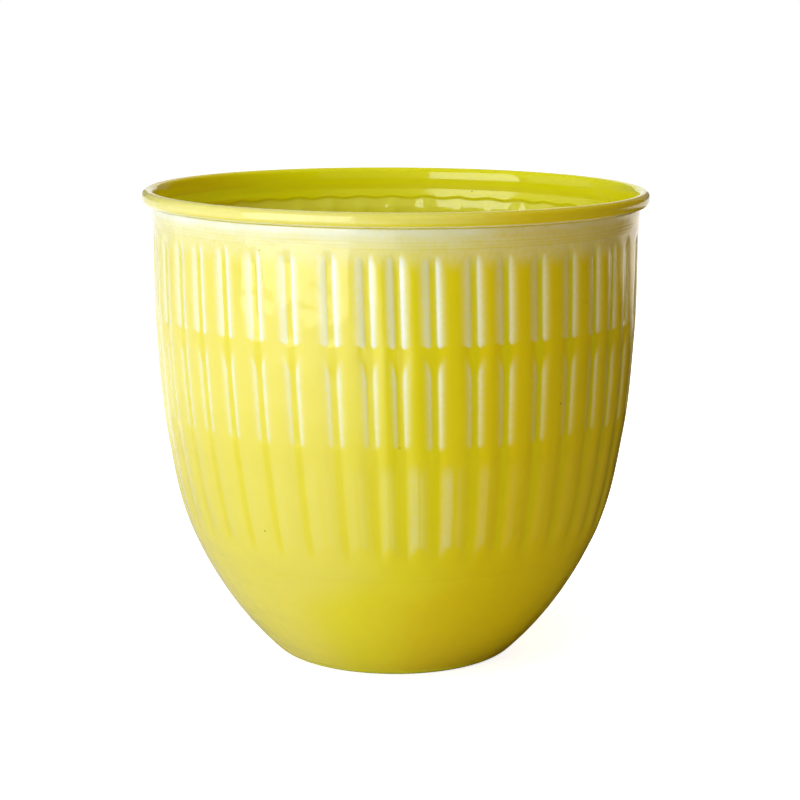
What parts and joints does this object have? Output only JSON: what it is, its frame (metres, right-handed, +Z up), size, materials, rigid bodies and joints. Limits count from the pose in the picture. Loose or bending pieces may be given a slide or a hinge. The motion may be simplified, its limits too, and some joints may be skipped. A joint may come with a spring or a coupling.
{
  "type": "plant pot",
  "caption": "Round enamelled sheet metal plant pot: smooth drawn bowl, wall pressed with tiers of upright flutes, plain neck and rolled wired rim, for a potted plant.",
  "frame": {"origin": "on the ground, on the pot's own axis, at the middle of the ring that the pot stands on", "axes": "+Z up along the axis of revolution towards the open mouth; -Y is the front, where the one narrow flute panel is; +X to the right seen from the front"},
  "size_m": [0.1802, 0.1802, 0.1684],
  "materials": {
    "enamel": "thick glossy lemon yellow enamel over sheet steel, slightly lumpy, inside and out",
    "painted_solder": "solder fillet under the same glossy yellow enamel",
    "wire": "bare drawn mild steel wire, hidden in the curl"
  },
  "bodies": {
    "root": {"base_bowl": "enamel", "base_solder": "painted_solder", "fluted_wall": "enamel", "neck_solder": "painted_solder", "rim_ring": "enamel", "rim_wire": "wire"}
  },
  "joints": []
}
